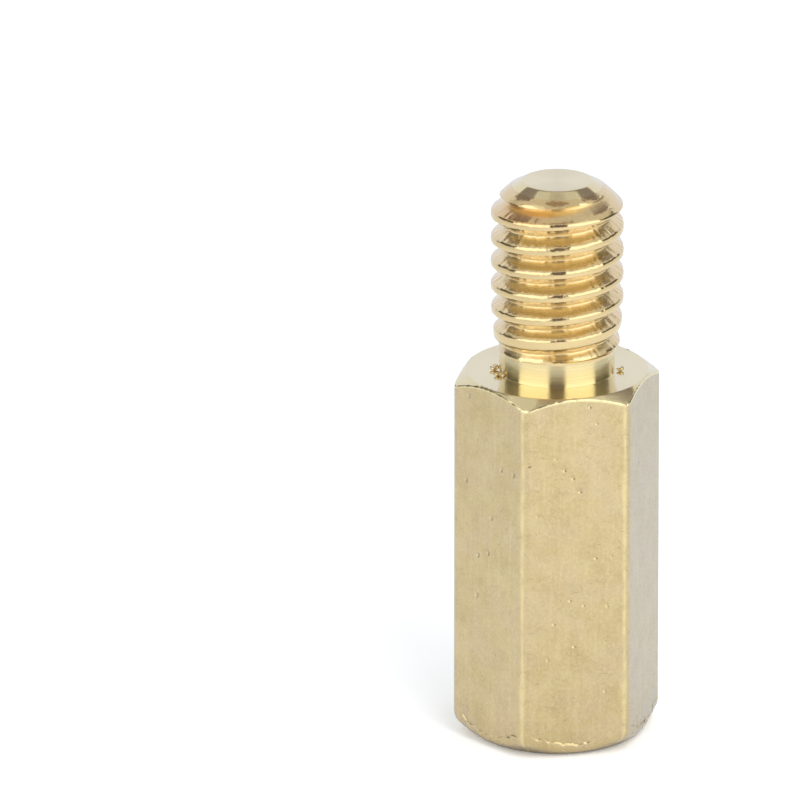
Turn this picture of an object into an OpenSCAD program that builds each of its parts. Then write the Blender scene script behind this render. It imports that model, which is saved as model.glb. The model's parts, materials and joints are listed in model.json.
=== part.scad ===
// Male and female hex standoff, M4, turned from brass hex bar as one piece.
// The origin is the centre of the base face. +Z runs up the axis to the tip of the stud.
// A flat of the hex bar faces -Y.

/* [Body] */
// Distance across the flats of the hex bar
hex_flats = 5.45; // [4.5:0.05:8]
// Height of the hex body, from its base face to the shoulder
body_height = 11.3; // [6:0.1:40]
// Radius of the six long edges of the drawn bar
edge_radius = 0.35; // [0.1:0.05:0.5]
// Play between the turned shoulder face and the flats, where the upper chamfer starts
shoulder_margin = 0.035; // [0.02:0.005:0.4]
// Angle of the upper chamfer, down from the shoulder face
shoulder_chamfer_angle = 36; // [15:1:45]
// Distance from the base face to the flats, where the lower chamfer starts
base_margin = 0.31; // [0.1:0.01:0.45]
// Angle of the lower chamfer, up from the base face
base_chamfer_angle = 44; // [15:1:50]

/* [Thread] */
// Nominal thread size of the stud and of the hole
thread_size = 4; // [3:0.5:5]
// Thread pitch
thread_pitch = 0.7; // [0.5:0.05:0.8]
// How much the crests of the stud are under the nominal thread size, on the diameter
crest_clearance = 0.06; // [0.02:0.01:0.16]

/* [Stud] */
// Length of the stud, from the shoulder to its tip
stud_length = 5.9; // [4:0.1:12]
// Diameter of the flat on the tip
tip_flat = 2.06; // [1.2:0.02:2.6]
// Angle of the cone at the tip, down from the tip's flat
tip_angle = 32; // [20:1:50]
// How far the plain neck at the foot of the stud is turned down below the crests, on the radius
neck_relief = 0.25; // [0.1:0.01:0.5]
// Height of the plain neck
neck_height = 0.8; // [0.4:0.05:2]
// Angle of the step from the neck out to the thread, up from the neck's rim
runout_angle = 45; // [30:5:60]

/* [Hole] */
// Brass left between the drill's point and the level of the shoulder
floor_thickness = 1.7; // [0.8:0.1:4]
// Included angle of the drill's point
drill_point_angle = 118; // [90:2:140]
// How much wider the countersink is than the nominal thread size, on the diameter
countersink_clearance = 0.2; // [0.1:0.02:0.4]
// Included angle of the countersink
countersink_angle = 90; // [60:5:120]
// Least width of the flat ring left between the countersink and the lower chamfer
least_land = 0.15; // [0.1:0.01:0.3]

/* [Hidden] */
$fn = 96;
BRASS = [0.79, 0.68, 0.42];
// Overrun of each cutting shape past the face that it cuts
OVER = 0.5;
// How far the round edges stand past the flats, so that the two meet in one clean line
EDGE_STAND = 0.001;
flats_radius = hex_flats / 2;
edge_centre_radius = (flats_radius - edge_radius) / cos(30);
flat_width = 2 * edge_centre_radius * sin(30);
shoulder_radius = flats_radius - shoulder_margin;
base_radius = flats_radius - base_margin;
// Radius that the turned envelope reaches, outside every edge of the bar
envelope_radius = flats_radius / cos(30) + OVER;
shoulder_drop = (envelope_radius - shoulder_radius) * tan(shoulder_chamfer_angle);
base_rise = (envelope_radius - base_radius) * tan(base_chamfer_angle);
stud_radius = (thread_size - crest_clearance) / 2;
neck_radius = stud_radius - neck_relief;
tip_radius = tip_flat / 2;
tip_drop = (stud_radius - tip_radius) * tan(tip_angle);
runout_rise = neck_relief * tan(runout_angle);
drill_radius = (thread_size - thread_pitch) / 2;
drill_point = drill_radius / tan(drill_point_angle / 2);
drill_depth = body_height - floor_thickness - drill_point;
countersink_radius = min((thread_size + countersink_clearance) / 2, base_radius - least_land);
countersink_depth = (countersink_radius - drill_radius) / tan(countersink_angle / 2);

// Section of the drawn bar: three slabs across the flats, with a round at each of the six edges.
module bar_section() {
    for (turn = [0, 60, 120])
        rotate(turn)
            square([flat_width, hex_flats], center = true);
    for (turn = [0 : 60 : 300])
        rotate(turn)
            translate([edge_centre_radius, 0])
                circle(r = edge_radius + EDGE_STAND);
}

// Half section of all the outer turned faces, from the base face to the tip.
module turned_section() {
    polygon([
        [0, 0],
        [base_radius, 0],
        [envelope_radius, base_rise],
        [envelope_radius, body_height - shoulder_drop],
        [shoulder_radius, body_height],
        [0, body_height]
    ]);
}

// Half section of the stud: neck, step to the thread, crests as a plain cylinder, cone and tip.
module stud_section() {
    top = body_height + stud_length;
    polygon([
        [0, body_height - OVER],
        [neck_radius, body_height - OVER],
        [neck_radius, body_height + neck_height],
        [stud_radius, body_height + neck_height + runout_rise],
        [stud_radius, top - tip_drop],
        [tip_radius, top],
        [0, top]
    ]);
}

// Half section of the blind hole: countersink, tap drill and the drill's point.
module hole_section() {
    mouth = countersink_radius + OVER * tan(countersink_angle / 2);
    polygon([
        [0, -OVER],
        [mouth, -OVER],
        [drill_radius, countersink_depth],
        [drill_radius, drill_depth],
        [0, drill_depth + drill_point]
    ]);
}

// The whole standoff, one piece of brass.
module standoff() {
    color(BRASS)
        difference() {
            union() {
                intersection() {
                    linear_extrude(height = body_height)
                        bar_section();
                    rotate_extrude()
                        turned_section();
                }
                rotate_extrude()
                    stud_section();
            }
            rotate_extrude()
                hole_section();
        }
}

standoff();
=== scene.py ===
import json
import math

import bmesh
import bpy
import numpy as np
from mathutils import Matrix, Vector


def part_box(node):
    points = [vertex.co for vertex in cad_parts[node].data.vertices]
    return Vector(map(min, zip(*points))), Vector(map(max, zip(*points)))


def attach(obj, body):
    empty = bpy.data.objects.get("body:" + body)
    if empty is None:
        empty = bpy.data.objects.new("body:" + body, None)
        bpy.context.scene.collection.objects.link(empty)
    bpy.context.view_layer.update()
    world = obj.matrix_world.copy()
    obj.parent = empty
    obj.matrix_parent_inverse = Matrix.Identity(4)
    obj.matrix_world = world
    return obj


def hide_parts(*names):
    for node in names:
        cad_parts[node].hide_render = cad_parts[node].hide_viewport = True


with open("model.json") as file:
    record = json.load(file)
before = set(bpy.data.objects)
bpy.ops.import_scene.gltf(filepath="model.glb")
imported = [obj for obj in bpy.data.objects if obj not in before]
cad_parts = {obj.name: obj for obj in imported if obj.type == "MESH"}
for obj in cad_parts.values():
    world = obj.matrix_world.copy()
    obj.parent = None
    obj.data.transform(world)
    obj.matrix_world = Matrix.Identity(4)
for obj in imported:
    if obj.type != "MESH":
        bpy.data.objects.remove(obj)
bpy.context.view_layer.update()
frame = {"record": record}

# Sizes are in millimetres, and this turns them into metres.
MM = 0.001

# What the frame gives: the bar, the stud and the hole
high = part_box("standoff")[1]
mounts = {mount["name"]: mount for mount in frame["record"]["mounts"]}
FLATS_RADIUS = round(high.y / MM, 3)
TIP_HEIGHT = high.z / MM
SHOULDER_HEIGHT = mounts["shoulder"]["pos_m"][2] / MM
HOLE_RADIUS = mounts["hole"]["dims"]["r_mm"]

# The drawn bar: half of one of its six sectors, and a long edge's round, with its centre and half angle
HALF_SECTOR = math.radians(30)
EDGE_RADIUS = 0.35
EDGE_CENTRE = (FLATS_RADIUS - EDGE_RADIUS) / math.cos(HALF_SECTOR)
EDGE_HALF_ANGLE = HALF_SECTOR - math.atan2(EDGE_CENTRE / 2, FLATS_RADIUS)

# The chamfers turned on its two ends: how far inside the flats each starts on its end face, and its angle
SHOULDER_MARGIN = 0.035
SHOULDER_RADIUS = FLATS_RADIUS - SHOULDER_MARGIN
SHOULDER_ANGLE = math.radians(36)
BASE_MARGIN = 0.31
BASE_RADIUS = FLATS_RADIUS - BASE_MARGIN
BASE_ANGLE = math.radians(36)

# The rounds at the corners, by what each takes from the lines beside it, and how uneven the worn ones are
TIP_ROUND = 0.05
NECK_FOOT_ROUND = 0.015
SHOULDER_ROUND = 0.03
TOP_EDGE_ROUND = 0.04
TOP_EDGE_CHANGE = 0.7
BASE_TOP_ROUND = 0.3
BASE_TOP_CHANGE = 0.3
BASE_LOW_ROUND = 0.17
COUNTERSINK_ROUND = 0.02

# The dented line over the base chamfer, which leaves a low lip: its depth, its top, its middle and its round
LIP_DEPTH = 0.035
LIP_TOP = 0.12
LIP_MIDDLE = 0.05
LIP_ROUND = 0.02

# Where one finish gives way to the next, below the shoulder's chamfer and inside the base's
TOP_GAP = 0.07
LAND_RADIUS = BASE_RADIUS - 0.2

# The M4 threads. The stud's has soft crests and roots, and its cut wanders up and down a little, in waves
# that lean by up to 12 radians a millimetre.
PITCH = 0.7
NOMINAL_RADIUS = 2.0
ROOT_RADIUS = 1.6
FLANK_SLOPE = math.tan(math.radians(60))
CREST_HALF_WIDTH = 0.085
ROUND_ABOVE_CREST = 0.07
ROUND_BELOW_CREST = 0.035
ROOT_ROUND = 0.08
CUT_WANDER = 0.009
WANDER_LEAN = 12

# The crest that faces the camera near the middle of the stud, and how the thread strays from its true lead
# there: by so much a turn, by so much more with the cube of the turns, and no further past the last turn
# before the tip
FRONT_CREST_HEIGHT = SHOULDER_HEIGHT + 2.865
STRAY = 0.022
STRAY_CURVE = 0.0025
LAST_STRAY_TURN = 3.2

# The neck, where the cut fades in, and the crests that grow out of it, by their height over the shoulder
NECK_RADIUS = 1.72
NECK_HEIGHT = 0.8
CUT_START = 0.72
CUT_FADE = 0.3
CREST_HEIGHTS = [0.78, 0.88, 1.1, 1.4, 1.8, 2.3]
CREST_RADII = [NECK_RADIUS, 1.86, 1.88, 1.9, 1.95, 1.968]

# The cone at the tip: its slope, how far down it turns to 45 degrees, and the rounds there and at its rim
TIP_RADIUS = 1.03
TIP_SLOPE = math.tan(math.radians(28))
CONE_TURN = 0.24
CONE_TURN_ROUND = 0.04
CONE_RIM_ROUND = 0.015

# The groove under the cone is cut deeper: by how much, where that starts and fades in up the stud, and
# where it starts and fades in below and above a crest, so that the flank just below the crest is left out
TIP_SINK = 0.16
SINK_START = 5.05
SINK_FADE = 0.4
SINK_BELOW = 0.15
SINK_BELOW_FADE = 0.2
SINK_ABOVE = -0.05
SINK_ABOVE_FADE = 0.1

# The rows that climb with the stud's thread, from the neck up to the tip's cone, and where they lie, in
# pitches above a crest: close-set at the crest and in the root
THREAD_START = SHOULDER_HEIGHT + NECK_HEIGHT - 0.1
THREAD_END = TIP_HEIGHT - 0.16
HALF_PITCH = np.array([0, 0.06, 0.09, 0.115, 0.14, 0.17, 0.21, 0.3, 0.38, 0.43, 0.465])
STUD_STATIONS = np.concatenate([HALF_PITCH, [0.5], 1 - HALF_PITCH[:0:-1]])

# The tapped hole: its countersink, its thread, the run-out before the drill's end, and its 118 degree point
COUNTERSINK_RADIUS = 2.1
COUNTERSINK_LIP = 0.04
GROOVE_HALF_WIDTH = PITCH * 5 / 16
HOLE_ROOT_ROUND = 0.02
HOLE_STATIONS = np.linspace(0, 1, 9)[:-1]
DRILL_END = SHOULDER_HEIGHT - 2.691
DRILL_POINT = HOLE_RADIUS / math.tan(math.radians(59))
RUN_OUT_END = DRILL_END - 0.5
RUN_OUT_LENGTH = 0.8

# The chips on the shoulder: the burr's thickest radius, how far it leans back, and the rows and columns of
# its grid. Each chip has its degrees to the right of the camera, its distance from the axis, its half width
# and half depth, and the start and the length of its loop in turns.
CHIP_RADIUS = 0.055
CHIP_LEAN = math.radians(35)
CHIP_ROWS = 41
CHIP_COLUMNS = 9
CHIPS = [
    (-86, 1.86, 0.09, 0.06, 0.4, 0.95),
    (-70, 1.86, 0.09, 0.05, 0.45, 0.8),
    (84, 1.86, 0.08, 0.06, 0.55, 0.6),
]

# The lighter line beside each long edge, partly rubbed bright and partly a painted highlight: how far to
# the left of its middle it lies and how wide it is, in shares of the edge's half angle, and by how much
# both change along the bar
HIGHLIGHT_RUB_SIDE = 0.45
HIGHLIGHT_RUB_WANDER = 0.06
HIGHLIGHT_RUB_PEAK = 1.25
HIGHLIGHT_RUB_WIDTH = 0.4
HIGHLIGHT_RUB_CHANGE = 0.15

# The mark for depth, from the crests down into the groove and in from the tip's cone, and the band of
# painted shade under each crest: where the first one starts on the stud, how far below the crest it lies,
# and half its width
GROOVE_TOP = 1.96
GROOVE_DEPTH = 0.34
CONE_DEPTH = 0.1
SHADE_START = 1.1
SHADE_BELOW = 0.19
SHADE_HALF_WIDTH = 0.11

# The orange tint under the tip's cone: where it starts and fades in, how far to the left of the camera it is
# strongest, and how strong it is there and how fast it falls off
ORANGE_TINT_START = 5.0
ORANGE_TINT_FADE = 0.15
ORANGE_TINT_DEPTH = 0.04
ORANGE_TINT_TURN = math.radians(44)
ORANGE_TINT_STRENGTH = 0.8
ORANGE_TINT_FALL = 6

# How near to the cone, or to the neck and its foot, a point still counts as on it
CONE_SKIN = 0.02
NECK_SKIN = 0.01
NECK_FOOT = 0.02

# The finishes, in the order of the mesh's materials
DRAWN, TURNED, CUT = 0, 1, 2

# The camera, and where the picture's 800 pixels put the shoulder's middle
AZIMUTH = math.radians(-11.9)
ELEVATION = math.radians(20)
PICTURE = 800
PIXELS_PER_MM = 33.84
SHOULDER_X = 556.9
SHOULDER_Y = 368.3
LENS = 1000
SENSOR = 36
CLIP_START = 10
CLIP_END = 5000

# The angle round the axis that faces the camera, and the grid's seam at the middle of the rear flat
FRONT_ANGLE = math.atan2(-math.cos(AZIMUTH), math.sin(AZIMUTH))
SEAM_ANGLE = math.radians(-270)

# The grid: its points across half of a long edge's round, across half of a flat and over a turned round,
# the steps in which the stray is worked out, the least length that is divided by, the distance within which
# points merge, and the least angle that is left sharp
ROUND_COLUMNS = 7
FLAT_COLUMNS = 18
BEND_ROWS = 5
STRAY_STEPS = 400
TINY = 1e-9
MERGE = 0.0005 * MM
SHARP_ANGLE = math.radians(50)

# The studio as the brass reflects it: side to side and low to high in degrees, then the level and the tint
CARD_DISTANCE = 200
CARD_COLUMNS = 13
CARD_ROWS = 9
CARDS = {
    "camera_and_hood": ((-15, 15), (-2, 62), 0.18, "#fff0ff"),
    "left_softbox": ((-80, -18), (-2, 46), 1.7, "#ffffff"),
    "right_softbox": ((18, 80), (-2, 46), 1.7, "#ffffff"),
    "left_flag": ((-126, -80), (-2, 33), 0.13, "#ffffff"),
    "right_flag": ((80, 126), (-2, 33), 0.13, "#ffffff"),
    "left_side_card": ((-126, -80), (33, 62), 0.7, "#ffffff"),
    "right_side_card": ((80, 126), (33, 62), 0.7, "#ffffff"),
    "rear_card": ((126, 234), (-2, 36), 1.0, "#ecf0ff"),
    "rear_flag": ((118, 242), (38, 60), 0.24, "#fff3ff"),
    "upper_card": ((-180, 180), (62, 77), 0.68, "#ffffff"),
    "zenith_card": ((-180, 180), (77.5, 89.9), 0.36, "#ffe9dc"),
}

# The floor, a hair below the base so that they never coincide, and the white that the camera sees added
FLOOR_HALF_WIDTH = 300
FLOOR_HEIGHT = -0.002
FLOOR_LIFT = 0.25

# The level of the room where it lights the floor
ROOM_LEVEL = 0.88

# Mapping scales that turn metres into millimetres, the second with patterns drawn out along the bar
TO_MM = (1 / MM, 1 / MM, 1 / MM)
TO_MM_ALONG = (1 / MM, 1 / MM, 60)

# Sockets of a colour mix, whose names aren't its own: its share, its two colours, and the mixed colour
SHARE, FIRST, SECOND, MIXED = 0, 6, 7, 2


def linear(code):
    """Linear colour of an sRGB hex value: c / 12.92 to 0.04045, and ((c + 0.055) / 1.055) ^ 2.4 above."""
    c = np.array([int(code[i:i + 2], 16) for i in (1, 3, 5)]) / 255
    return (*np.where(c <= 0.04045, c / 12.92, ((c + 0.055) / 1.055) ** 2.4).tolist(), 1.0)


def ramp(value, start, length):
    """0 up to the start, 1 past the length, and even between them."""
    return np.clip((value - start) / length, 0, 1)


def lesser(a, b, blend):
    """The smaller of two, with a round of the given size where they cross."""
    return (a + b - np.sqrt((a - b) ** 2 + blend ** 2)) / 2


def greater(a, b, blend):
    """The larger of two, with a round of the given size where they cross."""
    return (a + b + np.sqrt((a - b) ** 2 + blend ** 2)) / 2


def waver(angle, seed, slowest, fastest, height=0, lean=0):
    """An uneven but closed wave round the axis, about -1 to 1: a sum of sines with whole numbers of waves,
    which lean by up to so many radians a millimetre of height."""
    rng = np.random.default_rng(seed)
    counts = np.arange(slowest, fastest + 1)
    sizes = rng.normal(0, 1, counts.size)
    phases = rng.uniform(0, 2 * np.pi, counts.size)
    leans = rng.uniform(-lean, lean, counts.size)
    angle, height = np.broadcast_arrays(angle, height)
    waves = np.sin(counts[:, None] * angle.ravel() + leans[:, None] * height.ravel() + phases[:, None])
    return (sizes @ waves / math.sqrt(counts.size)).reshape(angle.shape)


def column_angles():
    """Angles of the grid's columns, once round from the seam: six sectors, each close-set over the round of
    its long edge and even across the flats beside it."""
    over_round = np.linspace(0, EDGE_HALF_ANGLE, ROUND_COLUMNS)
    over_flat = np.linspace(EDGE_HALF_ANGLE, HALF_SECTOR, FLAT_COLUMNS)[1:]
    half = np.concatenate([over_round, over_flat])
    sector = np.concatenate([-half[::-1], half[1:-1]])
    middles = SEAM_ANGLE + np.radians(30 + 60 * np.arange(6))
    return np.append((middles[:, None] + sector).ravel(), SEAM_ANGLE + 2 * np.pi)


def angle_past_edge(angle):
    """Angle past the nearest of the six long edges, the first of which is at 0."""
    return (angle + HALF_SECTOR) % (2 * HALF_SECTOR) - HALF_SECTOR


def bar_radius(angle):
    """Radius of the drawn bar: the flat's distance over the cosine of the angle from its middle, or the
    circle of the edge's round, c cos(d) + sqrt(r^2 - c^2 sin(d)^2) at the angle d from the edge."""
    off = np.abs(angle_past_edge(angle))
    flat = FLATS_RADIUS / np.cos(HALF_SECTOR - off)
    inside = np.maximum(EDGE_RADIUS ** 2 - (EDGE_CENTRE * np.sin(off)) ** 2, 0)
    return np.where(off < EDGE_HALF_ANGLE, EDGE_CENTRE * np.cos(off) + np.sqrt(inside), flat)


def profile_rows(first, *corners):
    """Rows down a turned profile, as (radius, height) over the columns. first is the (radius, height) where
    it starts, and each corner is (radius, height, softness, rows): rows are laid on the straight up to it,
    and it is a quadratic Bezier, (1 - t)^2 a + 2 t (1 - t) c + t^2 b, from a to b, its softness before and
    after it."""
    shape = np.broadcast(*first, *[part for corner in corners for part in corner[:3]], np.zeros(1)).shape
    spots = [np.stack([np.broadcast_to(part, shape) for part in spot[:2]]) for spot in (first, *corners)]
    made, start = [spots[0][None]], spots[0]
    for i, (_, _, softness, rows) in enumerate(corners):
        corner = spots[i + 1]
        back = start - corner
        stop = corner + back / np.maximum(np.hypot(*back), TINY) * softness
        made.append(start + (stop - start) * np.linspace(0, 1, rows + 1)[1:, None, None])
        start = stop
        if np.any(np.asarray(softness) > 0):
            ahead = spots[i + 2] - corner
            start = corner + ahead / np.maximum(np.hypot(*ahead), TINY) * softness
            t = np.linspace(0, 1, BEND_ROWS)[1:, None, None]
            made.append((1 - t) ** 2 * stop + 2 * t * (1 - t) * corner + t ** 2 * start)
    return np.concatenate(made)


def lead_error(height):
    """How far the thread has strayed from its true lead, t turns from the middle of the stud: a t + b t^3,
    which stays as it is past the last turn before the tip."""
    turns = np.minimum((height - FRONT_CREST_HEIGHT) / PITCH, LAST_STRAY_TURN)
    return STRAY * turns + STRAY_CURVE * turns ** 3


def above_crest(angle, height):
    """Height above the nearest crest of a right-hand thread, whose crest rises one pitch a turn and faces
    the camera at FRONT_CREST_HEIGHT."""
    crest = FRONT_CREST_HEIGHT + PITCH * (angle - FRONT_ANGLE) / (2 * np.pi)
    return (height - crest + PITCH / 2) % PITCH - PITCH / 2


def tip_cone(height):
    """Radius of the cone at the tip: two cones, the lower at 45 degrees, with a round where they cross."""
    down = TIP_HEIGHT - height
    turn = TIP_RADIUS + CONE_TURN / TIP_SLOPE
    return lesser(TIP_RADIUS + down / TIP_SLOPE, turn + down - CONE_TURN, CONE_TURN_ROUND)


def stud_radius(angle, height):
    """Radius of the stud: 60 degree flanks between soft crests and roots, cut off by what was turned
    before, which is the neck, the crests that grow from it over two turns, and the cone at the tip. The cut
    fades into the neck, as the smooth step 3 f^2 - 2 f^3, and is deeper under the cone."""
    up = height - SHOULDER_HEIGHT
    crest = np.interp(up, CREST_HEIGHTS, CREST_RADII)
    at_tip = ramp(up, SINK_START, SINK_FADE)
    wander = CUT_WANDER * (1 - at_tip) * waver(angle, 11, 5, 60, height, WANDER_LEAN)
    above = above_crest(angle, height - lead_error(height)) + wander
    below, over = ramp(-above, SINK_BELOW, SINK_BELOW_FADE), ramp(above, SINK_ABOVE, SINK_ABOVE_FADE)
    sink = TIP_SINK * at_tip * np.maximum(below, over)
    flank = NOMINAL_RADIUS - sink + (CREST_HALF_WIDTH - np.abs(above)) * FLANK_SLOPE
    fade = ramp(up, CUT_START, CUT_FADE)
    root = NECK_RADIUS + (ROOT_RADIUS - NECK_RADIUS) * fade ** 2 * (3 - 2 * fade)
    soft = np.where(above > 0, ROUND_ABOVE_CREST, ROUND_BELOW_CREST)
    thread = greater(lesser(flank, crest, soft), root - sink, ROOT_ROUND)
    return lesser(thread, tip_cone(height), CONE_RIM_ROUND)


def hole_radius(angle, height):
    """Radius of the hole: a tapped thread that runs out before the drill's end, and the countersink."""
    fade = np.clip((RUN_OUT_END - height) / RUN_OUT_LENGTH, 0, 1)
    flank = HOLE_RADIUS + (GROOVE_HALF_WIDTH - np.abs(above_crest(angle, height))) * FLANK_SLOPE
    root = HOLE_RADIUS + (NOMINAL_RADIUS - HOLE_RADIUS) * fade
    thread = np.maximum(lesser(flank, root, HOLE_ROOT_ROUND * fade), HOLE_RADIUS)
    return np.maximum(thread, COUNTERSINK_RADIUS - height)


def helix_rows(angle, bottom, top, stations, surface, strayed=False):
    """Rows that climb with the thread, as (radius, height): each starts at its station of a pitch and rises
    a pitch a turn. They are held between bottom and top, so those past the ends fall together there and are
    merged."""
    at_seam = FRONT_CREST_HEIGHT + PITCH * (SEAM_ANGLE - FRONT_ANGLE) / (2 * np.pi)
    first = at_seam - PITCH * math.ceil((at_seam - bottom) / PITCH + 1)
    turns = math.ceil((top - first) / PITCH)
    along = first + PITCH * (np.arange(turns)[:, None] + stations).ravel()
    lift = PITCH * (angle - SEAM_ANGLE) / (2 * np.pi)
    height = np.pad(along[:, None] + lift, ((1, 1), (0, 0)), constant_values=((-np.inf, np.inf), (0, 0)))
    if strayed:
        true = np.linspace(bottom - PITCH, top + PITCH, STRAY_STEPS)
        height = np.interp(height, true - lead_error(true), true)
    height = np.clip(height, bottom, top)
    return np.stack([surface(angle, height), height], axis=1)


def stud_stretches(angle):
    """The rows of the tip's face and cone, which are turned, and of the thread below them, which is cut."""
    thread = helix_rows(angle, THREAD_START, THREAD_END, STUD_STATIONS, stud_radius, strayed=True)[::-1]
    tip = profile_rows(
        (0, TIP_HEIGHT),
        (TIP_RADIUS, TIP_HEIGHT, TIP_ROUND, 4),
        (thread[0, 0], THREAD_END, 0, 3))
    return [(tip, TURNED), (thread, CUT)]


def bar_stretches(angle):
    """The rows of the neck and the shoulder, which are turned, and of the drawn sides and the worn base
    chamfer. Each chamfer is a cone through the hexagon, so its edge lies (bar - end) tan(angle) from the
    end face, and runs in scallops over the flats. The long edges stay clear of the lip."""
    bar = bar_radius(angle)
    top_edge = SHOULDER_HEIGHT - (bar - SHOULDER_RADIUS) * math.tan(SHOULDER_ANGLE)
    low_edge = (bar - BASE_RADIUS) * math.tan(BASE_ANGLE)

    # The waves are scaled and shifted to set how much of each edge is worn.
    top_round = TOP_EDGE_ROUND * (1 + TOP_EDGE_CHANGE * np.clip(1.3 * waver(angle, 3, 30, 130), -1, 1))
    low_wear = 1 - BASE_TOP_CHANGE * np.clip(0.5 + waver(angle, 5, 30, 110), 0, 1)
    low_round = low_wear * np.minimum(BASE_TOP_ROUND, (bar - BASE_RADIUS) / math.cos(BASE_ANGLE) / 2)
    round_start = low_edge + low_round
    clear = np.clip(np.abs(angle_past_edge(angle)) / EDGE_HALF_ANGLE - 1, 0, 1)
    beads = 0.6 + waver(angle, 7, 3, 12) + 1.2 * waver(angle, 8, 50, 130)
    lip = LIP_DEPTH * clear * np.clip(beads, 0, 1)

    top = profile_rows(
        (NECK_RADIUS, THREAD_START),
        (NECK_RADIUS, SHOULDER_HEIGHT, NECK_FOOT_ROUND, 4),
        (SHOULDER_RADIUS, SHOULDER_HEIGHT, SHOULDER_ROUND, 20),
        (bar, top_edge, top_round, 3),
        (bar, top_edge - TOP_GAP, 0, 1))
    side = profile_rows(
        (bar, top_edge - TOP_GAP),
        (bar, round_start + LIP_TOP, 0, 16),
        (bar - lip, round_start + LIP_MIDDLE, LIP_ROUND, 2),
        (bar, round_start, 0, 2))
    base = profile_rows(
        (bar, round_start),
        (bar, low_edge, low_round, 0),
        (BASE_RADIUS, 0, BASE_LOW_ROUND, 2),
        (LAND_RADIUS, 0, 0, 1))
    return [(top, TURNED), (side, DRAWN), (base, DRAWN)]


def hole_stretches(angle):
    """The rows of the land round the hole, of its countersink and thread, and of the drill's point."""
    land = profile_rows(
        (LAND_RADIUS, 0),
        (COUNTERSINK_RADIUS, 0, COUNTERSINK_ROUND, 2),
        (COUNTERSINK_RADIUS - COUNTERSINK_LIP, COUNTERSINK_LIP, 0, 1))
    thread = helix_rows(angle, COUNTERSINK_LIP, DRILL_END, HOLE_STATIONS, hole_radius)
    drill = profile_rows(
        (HOLE_RADIUS, DRILL_END),
        (0, DRILL_END + DRILL_POINT, 0, 4))
    return [(land, TURNED), (thread, CUT), (drill, TURNED)]


def chip_places(side, distance, reach, depth, start, turns):
    """A burr chip on the shoulder: a round wire along an oval, reach cos(t) across the view by depth sin(t)
    away from it, that leans back by CHIP_LEAN. It is as thick as the root of a half sine, so both ends come
    to a point."""
    share = np.linspace(0, 1, CHIP_ROWS)[:, None]
    t = (start + turns * share) * 2 * np.pi
    around = np.linspace(0, 2 * np.pi, CHIP_COLUMNS)
    thick = CHIP_RADIUS * np.sin(np.pi * share) ** 0.5
    across = (reach + thick * np.cos(around)) * np.cos(t)
    away = (depth + thick * np.cos(around)) * np.sin(t)
    proud = thick * np.sin(around)
    up = CHIP_RADIUS + (depth + away) * math.sin(CHIP_LEAN) + proud * math.cos(CHIP_LEAN)
    back = away * math.cos(CHIP_LEAN) - proud * math.sin(CHIP_LEAN)
    turn = FRONT_ANGLE + math.radians(side)
    x = distance * math.cos(turn) - back * math.cos(FRONT_ANGLE) - across * math.sin(FRONT_ANGLE)
    y = distance * math.sin(turn) - back * math.sin(FRONT_ANGLE) + across * math.cos(FRONT_ANGLE)
    return np.stack([x, y, SHOULDER_HEIGHT + up], axis=-1)


def grid_mesh(name, *grids):
    """A mesh from grids of places in millimetres, with a face between each four neighbours of a grid."""
    faces, first = [], 0
    for places in grids:
        number = first + np.arange(places.shape[0] * places.shape[1]).reshape(places.shape[:2])
        corners = [number[:-1, :-1], number[1:, :-1], number[1:, 1:], number[:-1, 1:]]
        faces.append(np.stack(corners, axis=-1).reshape(-1, 4))
        first += number.size
    spots = np.concatenate([places.reshape(-1, 3) for places in grids]) * MM
    mesh = bpy.data.meshes.new(name)
    mesh.from_pydata(spots.tolist(), [], np.concatenate(faces).tolist())
    return mesh


def close_up(mesh):
    """Merges the seam, the poles and rows that fell together, turns the faces out and smooths them."""
    work = bmesh.new()
    work.from_mesh(mesh)
    bmesh.ops.remove_doubles(work, verts=work.verts, dist=MERGE)
    bmesh.ops.recalc_face_normals(work, faces=work.faces)
    work.to_mesh(mesh)
    work.free()
    mesh.shade_smooth()
    mesh.set_sharp_from_angle(angle=SHARP_ANGLE)


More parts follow.
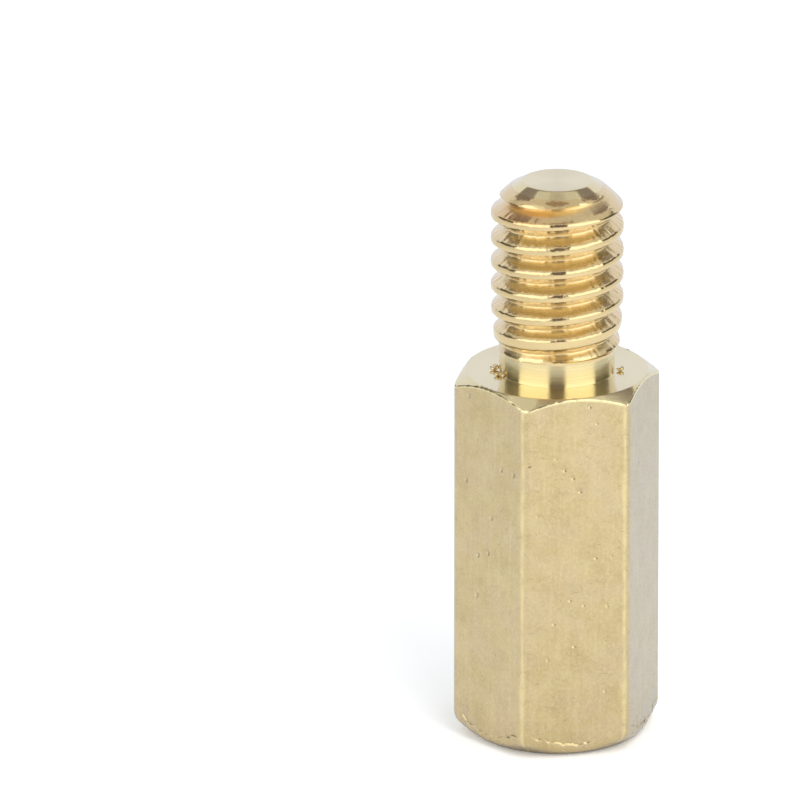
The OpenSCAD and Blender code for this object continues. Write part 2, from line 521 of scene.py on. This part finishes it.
def mark_wear_and_painted_light(mesh):
    """Marks on each vertex, from 0 to 1, that the finishes read: the lighter line at a long edge, partly
    rubbed bright and partly a painted highlight, the depth in the stud's thread, the orange tint under the
    tip's cone, the band of painted shade under each crest, and the neck."""
    spots = np.empty(len(mesh.vertices) * 3)
    mesh.vertices.foreach_get("co", spots)
    spots = spots.reshape(-1, 3)
    around = np.arctan2(spots[:, 1], spots[:, 0])
    radius = np.hypot(spots[:, 0], spots[:, 1]) / MM
    height = spots[:, 2] / MM
    up = height - SHOULDER_HEIGHT
    in_cone = tip_cone(height) - radius
    above = above_crest(around, height - lead_error(height))
    # The edge mark: a lighter line beside each long edge, partly rubbed wear and partly a painted highlight
    past_edge = angle_past_edge(around) / EDGE_HALF_ANGLE
    off_highlight_rub = np.abs(past_edge + HIGHLIGHT_RUB_SIDE + HIGHLIGHT_RUB_WANDER * waver(height, 9, 1, 4))
    highlight_rub_width = HIGHLIGHT_RUB_WIDTH + HIGHLIGHT_RUB_CHANGE * waver(height, 10, 1, 4)
    orange_tint_side = ORANGE_TINT_STRENGTH * np.clip(np.cos(around - FRONT_ANGLE + ORANGE_TINT_TURN), 0, 1) ** ORANGE_TINT_FALL
    orange_tint_place = np.minimum(ramp(in_cone, 0, ORANGE_TINT_DEPTH), ramp(up, ORANGE_TINT_START, ORANGE_TINT_FADE))
    # A band of painted shade under each crest
    shade = 1 - np.abs(above + SHADE_BELOW) / SHADE_HALF_WIDTH
    marks = {
        "edge": HIGHLIGHT_RUB_PEAK - off_highlight_rub / highlight_rub_width,
        "depth": np.minimum((GROOVE_TOP - radius) / GROOVE_DEPTH, in_cone / CONE_DEPTH) * (up > NECK_HEIGHT),
        "orange_tint": orange_tint_place * (above > 0) * orange_tint_side,
        "shade": shade * (up > SHADE_START) * (in_cone > CONE_SKIN),
        "neck": (np.abs(radius - NECK_RADIUS) < NECK_SKIN) & (up > NECK_FOOT) & (up < NECK_HEIGHT),
    }
    for name, value in marks.items():
        value = np.clip(value, 0, 1).astype(np.float32)
        mesh.attributes.new(name, "FLOAT", "POINT").data.foreach_set("value", value)


def standoff_mesh():
    """The whole standoff as one closed grid, whose rows run from the tip down the outside, across the base
    and up the hole, and whose columns go round the axis. The chips beside it have the bar's finish."""
    angle = column_angles()
    stretches = stud_stretches(angle) + bar_stretches(angle) + hole_stretches(angle)
    grid = np.concatenate([np.broadcast_to(rows, (*rows.shape[:2], angle.size)) for rows, _ in stretches])
    places = np.stack([grid[:, 0] * np.cos(angle), grid[:, 0] * np.sin(angle), grid[:, 1]], axis=-1)
    mesh = grid_mesh("standoff_brass", places, *[chip_places(*chip) for chip in CHIPS])
    row_finish = np.concatenate([np.full(len(rows), finish) for rows, finish in stretches])
    body_finish = np.repeat(row_finish[1:], angle.size - 1)
    chip_finish = np.full(len(mesh.polygons) - body_finish.size, DRAWN)
    mesh.polygons.foreach_set("material_index", np.concatenate([body_finish, chip_finish]))
    close_up(mesh)
    mark_wear_and_painted_light(mesh)
    return mesh


def add(tree, kind, inputs=(), **settings):
    """Adds a node with its settings. inputs maps a socket's name or number to a value or another socket."""
    made = tree.nodes.new(kind)
    for name, value in settings.items():
        setattr(made, name, value)
    for name, value in dict(inputs).items():
        if isinstance(value, bpy.types.NodeSocket):
            tree.links.new(value, made.inputs[name])
        else:
            made.inputs[name].default_value = value
    return made


def empty_material(name):
    """A material and its tree, with no nodes yet."""
    material = bpy.data.materials.new(name)
    material.use_nodes = True
    material.node_tree.nodes.clear()
    return material, material.node_tree


def drawn_brass():
    """Leaded brass bar, cold drawn through a hexagonal die: satin flats with fine lines along the bar,
    faint stains and specks, small pits, and a lighter line along each long edge, partly rubbed bright and
    partly a painted highlight."""
    material, tree = empty_material("drawn_leaded_brass")
    place = add(tree, "ShaderNodeTexCoord").outputs["Object"]
    mm = add(tree, "ShaderNodeMapping", {"Vector": place, "Scale": TO_MM}).outputs["Vector"]
    along = add(tree, "ShaderNodeMapping", {"Vector": place, "Scale": TO_MM_ALONG}).outputs["Vector"]

    # A pattern's scale is its grains to the millimetre. The lines are 0.14 mm wide, the stains and warmer
    # patches 0.7 and 1.2 mm, the specks 0.08 mm, the dents 0.4 mm, and one cell in three of 0.45 mm has a
    # pit. The curls are thin scratches along the contours of a noise. The die's own lines are finer than the
    # picture can show, so these are drawn coarser.
    lines = add(tree, "ShaderNodeTexNoise", {"Vector": along, "Scale": 7, "Detail": 2, "Roughness": 0.5})
    stain = add(tree, "ShaderNodeTexNoise", {"Vector": mm, "Scale": 1.4, "Detail": 3, "Roughness": 0.6})
    warmth = add(tree, "ShaderNodeTexNoise", {"Vector": mm, "Scale": 0.8, "Detail": 3, "Distortion": 0.6})
    grain = add(tree, "ShaderNodeTexNoise", {"Vector": mm, "Scale": 12, "Detail": 2})
    dents = add(tree, "ShaderNodeTexNoise", {"Vector": mm, "Scale": 2.6, "Detail": 1})
    curls = add(tree, "ShaderNodeTexNoise", {"Vector": mm, "Scale": 2.4, "Detail": 1, "Distortion": 0.8})
    curl = add(tree, "ShaderNodeMath", {0: curls.outputs["Fac"], 1: 0.62, 2: 0.006}, operation="COMPARE")
    pits = add(tree, "ShaderNodeTexVoronoi", {"Vector": mm, "Scale": 2.2, "Randomness": 1.0})
    pit = add(tree, "ShaderNodeMapRange",
              {"Value": pits.outputs["Distance"], "From Min": 0.05, "From Max": 0.2})
    bare = add(tree, "ShaderNodeMath", {0: pits.outputs["Color"], 1: 0.66}, operation="LESS_THAN")
    pit = add(tree, "ShaderNodeMath", {0: pit.outputs["Result"], 1: bare.outputs[0]}, operation="MAXIMUM")
    pit = add(tree, "ShaderNodeMath",
              {0: curl.outputs[0], 1: -0.5, 2: pit.outputs[0]}, operation="MULTIPLY_ADD")
    edge = add(tree, "ShaderNodeAttribute", attribute_name="edge").outputs["Fac"]

    tone = add(tree, "ShaderNodeValToRGB", {"Fac": stain.outputs["Fac"]})
    for element, position, code in zip(tone.color_ramp.elements, (0.3, 0.7), ("#cbb37d", "#d9c38f")):
        element.position = position
        element.color = linear(code)
    pink = add(tree, "ShaderNodeMapRange",
               {"Value": warmth.outputs["Fac"], "From Min": 0.45, "From Max": 0.65, "To Max": 0.5})
    tone = add(tree, "ShaderNodeMix",
               {SHARE: pink.outputs["Result"], FIRST: tone.outputs["Color"], SECOND: linear("#d6be98")},
               data_type="RGBA")
    streak = add(tree, "ShaderNodeMapRange",
                 {"Value": lines.outputs["Fac"], "From Min": 0.5, "From Max": 0.75, "To Max": 0.3})
    tone = add(tree, "ShaderNodeMix",
               {SHARE: streak.outputs["Result"], FIRST: tone.outputs[MIXED], SECOND: linear("#e6d29e")},
               data_type="RGBA")
    speck = add(tree, "ShaderNodeMapRange",
                {"Value": grain.outputs["Fac"], "From Min": 0.45, "From Max": 0.75, "To Max": 0.3})
    tone = add(tree, "ShaderNodeMix",
               {SHARE: speck.outputs["Result"], FIRST: tone.outputs[MIXED], SECOND: linear("#f0dfae")},
               data_type="RGBA")
    # A lighter colour along each long edge: partly rubbed wear, partly a painted highlight
    highlight_rub = add(tree, "ShaderNodeMapRange",
              {"Value": dents.outputs["Fac"], "From Min": 0.3, "From Max": 0.6, "To Min": 0.4})
    rubbed_and_highlit = add(tree, "ShaderNodeMath", {0: edge, 1: highlight_rub.outputs["Result"]}, operation="MULTIPLY")
    worn_and_highlit = add(tree, "ShaderNodeMix",
               {SHARE: rubbed_and_highlit.outputs[0], FIRST: tone.outputs[MIXED], SECOND: linear("#f0dba2")},
               data_type="RGBA")

    rough = add(tree, "ShaderNodeMapRange", {"Value": grain.outputs["Fac"], "To Min": 0.26, "To Max": 0.3})
    drawn = add(tree, "ShaderNodeBump",
                {"Height": lines.outputs["Fac"], "Distance": 0.005 * MM, "Strength": 0.6})
    uneven = add(tree, "ShaderNodeBump",
                 {"Height": dents.outputs["Fac"], "Distance": 0.008 * MM, "Strength": 0.6,
                  "Normal": drawn.outputs["Normal"]})
    dotted = add(tree, "ShaderNodeBump",
                 {"Height": pit.outputs[0], "Distance": 0.025 * MM, "Strength": 1.0,
                  "Normal": uneven.outputs["Normal"]})
    metal = add(tree, "ShaderNodeBsdfPrincipled",
                {"Base Color": worn_and_highlit.outputs[MIXED], "Metallic": 1.0, "Roughness": rough.outputs["Result"],
                 "Specular Tint": linear("#d8e2f4"), "Coat Weight": 1.0, "Coat Roughness": 0.1,
                 "Normal": dotted.outputs["Normal"]})
    add(tree, "ShaderNodeOutputMaterial", {"Surface": metal.outputs["BSDF"]})
    return material


def turned_brass():
    """The same brass faced and turned in a lathe: bright, with fine rings round the axis that draw each
    reflection out across them, and deeper ones on the neck."""
    material, tree = empty_material("turned_leaded_brass")
    place = add(tree, "ShaderNodeTexCoord").outputs["Object"]
    parts = add(tree, "ShaderNodeSeparateXYZ", {0: place})
    flat = add(tree, "ShaderNodeCombineXYZ", {0: parts.outputs[0], 1: parts.outputs[1]})
    radius = add(tree, "ShaderNodeVectorMath", {0: flat.outputs[0]}, operation="LENGTH")
    section = add(tree, "ShaderNodeCombineXYZ", {0: radius.outputs["Value"], 2: parts.outputs[2]})
    mm = add(tree, "ShaderNodeMapping", {"Vector": section.outputs[0], "Scale": TO_MM})

    # The rings are about 0.07 mm apart, coarser than a fine feed leaves, because finer ones don't show.
    rings = add(tree, "ShaderNodeTexNoise",
                {"Vector": mm.outputs[0], "Scale": 14, "Detail": 3, "Roughness": 0.7})
    neck = add(tree, "ShaderNodeAttribute", attribute_name="neck").outputs["Fac"]
    depth = add(tree, "ShaderNodeMapRange", {"Value": neck, "To Min": 0.1, "To Max": 0.9}).outputs["Result"]
    bumps = add(tree, "ShaderNodeBump",
                {"Height": rings.outputs["Fac"], "Distance": 0.01 * MM, "Strength": depth})
    rough = add(tree, "ShaderNodeMapRange", {"Value": neck, "To Min": 0.16, "To Max": 0.24})
    tangent = add(tree, "ShaderNodeTangent", direction_type="RADIAL", axis="Z")
    metal = add(tree, "ShaderNodeBsdfPrincipled",
                {"Base Color": linear("#ecdba6"), "Metallic": 1.0, "Roughness": rough.outputs["Result"],
                 "Anisotropic": 1.0, "Anisotropic Rotation": 0.25,
                 "Coat Weight": 1.0, "Coat Roughness": 0.05, "Normal": bumps.outputs["Normal"],
                 "Tangent": tangent.outputs[0]})
    add(tree, "ShaderNodeOutputMaterial", {"Surface": metal.outputs["BSDF"]})
    return material


def cut_brass():
    """The same brass cut to a thread by a die: bright crests with a faint chatter, satin grooves painted a
    little lighter as painted light, a band of painted shade under each crest, and an orange tint under the
    tip's cone."""
    material, tree = empty_material("thread_cut_leaded_brass")
    place = add(tree, "ShaderNodeTexCoord").outputs["Object"]
    mm = add(tree, "ShaderNodeMapping", {"Vector": place, "Scale": TO_MM}).outputs["Vector"]
    depth = add(tree, "ShaderNodeAttribute", attribute_name="depth").outputs["Fac"]
    orange_tint = add(tree, "ShaderNodeAttribute", attribute_name="orange_tint").outputs["Fac"]
    shade = add(tree, "ShaderNodeAttribute", attribute_name="shade").outputs["Fac"]

    # The marks of the chatter are about 0.14 mm long.
    chatter = add(tree, "ShaderNodeTexNoise", {"Vector": mm, "Scale": 7, "Detail": 2})
    bumps = add(tree, "ShaderNodeBump",
                {"Height": chatter.outputs["Fac"], "Distance": 0.016 * MM, "Strength": 0.5})
    rough = add(tree, "ShaderNodeMapRange", {"Value": depth, "To Min": 0.14, "To Max": 0.34})
    # Painted light: the colour turns lighter from the crests down into the grooves
    tone = add(tree, "ShaderNodeMix",
               {SHARE: depth, FIRST: linear("#e8cd94"), SECOND: linear("#f3d89c")}, data_type="RGBA")
    # An orange tint under the tip's cone
    tone = add(tree, "ShaderNodeMix",
               {SHARE: orange_tint, FIRST: tone.outputs[MIXED], SECOND: linear("#e8b873")}, data_type="RGBA")
    # Painted shade: a darker colour in the band under each crest
    tone = add(tree, "ShaderNodeMix",
               {SHARE: shade, FIRST: tone.outputs[MIXED], SECOND: linear("#a88f5e")}, data_type="RGBA")
    metal = add(tree, "ShaderNodeBsdfPrincipled",
                {"Base Color": tone.outputs[MIXED], "Metallic": 1.0, "Roughness": rough.outputs["Result"],
                 "Coat Weight": 1.0, "Coat Roughness": 0.05, "Normal": bumps.outputs["Normal"]})
    add(tree, "ShaderNodeOutputMaterial", {"Surface": metal.outputs["BSDF"]})
    return material


def stage_piece(name, places, material):
    """A piece of the studio, which isn't part of the object, from a grid of places in millimetres."""
    mesh = grid_mesh(name, places)
    mesh.materials.append(material)
    piece = bpy.data.objects.new(name, mesh)
    bpy.context.scene.collection.objects.link(piece)
    return piece


def make_card(name, sides, heights, level, tint):
    """A curved card of light or shade that only reflections see: a patch of a sphere round the object.
    sides and heights are its limits in degrees, to the right of the camera and above the horizon."""
    turn = np.radians(np.linspace(*sides, CARD_COLUMNS)) + FRONT_ANGLE
    climb = np.radians(np.linspace(*heights, CARD_ROWS))[:, None]
    reach = np.cos(climb)
    out = np.stack([np.cos(turn) * reach, np.sin(turn) * reach, np.sin(climb) + 0 * turn], axis=-1)
    material, tree = empty_material(name)
    glow = add(tree, "ShaderNodeEmission", {"Color": linear(tint), "Strength": level})
    add(tree, "ShaderNodeOutputMaterial", {"Surface": glow.outputs["Emission"]})
    card = stage_piece(name, out * CARD_DISTANCE + np.array([0, 0, SHOULDER_HEIGHT]), material)
    card.visible_camera = False
    card.visible_diffuse = False
    card.visible_shadow = False


def floor_material():
    """Matt white acrylic sheet. The camera sees it with a little white added, so that it is plain white but
    for the shadow where the object stands."""
    material, tree = empty_material("matt_white_acrylic")
    seen = add(tree, "ShaderNodeLightPath").outputs["Is Camera Ray"]
    share = add(tree, "ShaderNodeMath", {0: seen, 1: FLOOR_LIFT}, operation="MULTIPLY").outputs[0]
    sheet = add(tree, "ShaderNodeBsdfDiffuse", {"Color": linear("#f4f4f4")}).outputs[0]
    white = add(tree, "ShaderNodeEmission", {"Strength": share}).outputs[0]
    lit = add(tree, "ShaderNodeAddShader", {0: sheet, 1: white})
    add(tree, "ShaderNodeOutputMaterial", {"Surface": lit.outputs[0]})
    return material


def make_floor():
    """A level sheet that the standoff stands on."""
    across = np.linspace(-FLOOR_HALF_WIDTH, FLOOR_HALF_WIDTH, 3)
    places = np.stack([*np.meshgrid(across, across, indexing="ij"), np.full((3, 3), FLOOR_HEIGHT)], axis=-1)
    stage_piece("floor", places, floor_material())


def make_world():
    """A white room: the camera, metal and glass see plain white, and it lights the floor softly."""
    world = bpy.data.worlds.new("studio")
    bpy.context.scene.world = world
    world.use_nodes = True
    tree = world.node_tree
    tree.nodes.clear()
    path = add(tree, "ShaderNodeLightPath").outputs
    seen = add(tree, "ShaderNodeMath",
               {0: path["Is Camera Ray"], 1: path["Is Glossy Ray"]}, operation="MAXIMUM")
    seen = add(tree, "ShaderNodeMath",
               {0: seen.outputs[0], 1: path["Is Transmission Ray"]}, operation="MAXIMUM")
    level = add(tree, "ShaderNodeMapRange", {"Value": seen.outputs[0], "To Min": ROOM_LEVEL, "To Max": 1.0})
    tint = add(tree, "ShaderNodeMix",
               {SHARE: seen.outputs[0], FIRST: linear("#f6fafe"), SECOND: linear("#ffffff")},
               data_type="RGBA")
    sky = add(tree, "ShaderNodeBackground",
              {"Color": tint.outputs[MIXED], "Strength": level.outputs["Result"]})
    add(tree, "ShaderNodeOutputWorld", {"Surface": sky.outputs[0]})


def make_lamp(name, side, height, distance, size, watts):
    """A soft lamp that lights the floor, at degrees to the right of the camera and above the horizon."""
    turn, climb = FRONT_ANGLE + math.radians(side), math.radians(height)
    out = Vector((math.cos(turn) * math.cos(climb), math.sin(turn) * math.cos(climb), math.sin(climb)))
    light = bpy.data.lights.new(name, "AREA")
    light.size = size * MM
    light.energy = watts
    lamp = bpy.data.objects.new(name, light)
    lamp.location = out * distance * MM
    lamp.rotation_euler = out.to_track_quat("Z", "Y").to_euler()
    lamp.visible_glossy = False
    bpy.context.scene.collection.objects.link(lamp)


def make_camera():
    """A long lens at the photograph's angle, aimed so that the shoulder falls where the photograph has it."""
    back = Vector((math.sin(AZIMUTH) * math.cos(ELEVATION), -math.cos(AZIMUTH) * math.cos(ELEVATION),
                   math.sin(ELEVATION)))
    right = Vector((math.cos(AZIMUTH), math.sin(AZIMUTH), 0))
    up = back.cross(right)
    shoulder = Vector((0, 0, SHOULDER_HEIGHT))
    aim = (shoulder - right * (SHOULDER_X - PICTURE / 2) / PIXELS_PER_MM
           - up * (PICTURE / 2 - SHOULDER_Y) / PIXELS_PER_MM)
    distance = PICTURE / PIXELS_PER_MM * LENS / SENSOR
    data = bpy.data.cameras.new("camera")
    data.lens = LENS
    data.sensor_width = SENSOR
    data.clip_start = CLIP_START * MM
    data.clip_end = CLIP_END * MM
    camera = bpy.data.objects.new("camera", data)
    camera.location = (aim + back * distance) * MM
    camera.rotation_euler = back.to_track_quat("Z", "Y").to_euler()
    bpy.context.scene.collection.objects.link(camera)
    bpy.context.scene.camera = camera


make_camera()
make_world()
make_floor()
for name, (sides, heights, level, tint) in CARDS.items():
    make_card(name, sides, heights, level, tint)
make_lamp("key_lamp", side=26, height=50, distance=120, size=60, watts=0.05)

mesh = standoff_mesh()
for material in (drawn_brass(), turned_brass(), cut_brass()):
    mesh.materials.append(material)
standoff = bpy.data.objects.new("brass_standoff", mesh)
bpy.context.scene.collection.objects.link(standoff)
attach(standoff, "root")
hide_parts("standoff")

bpy.context.scene.view_settings.view_transform = "Standard"
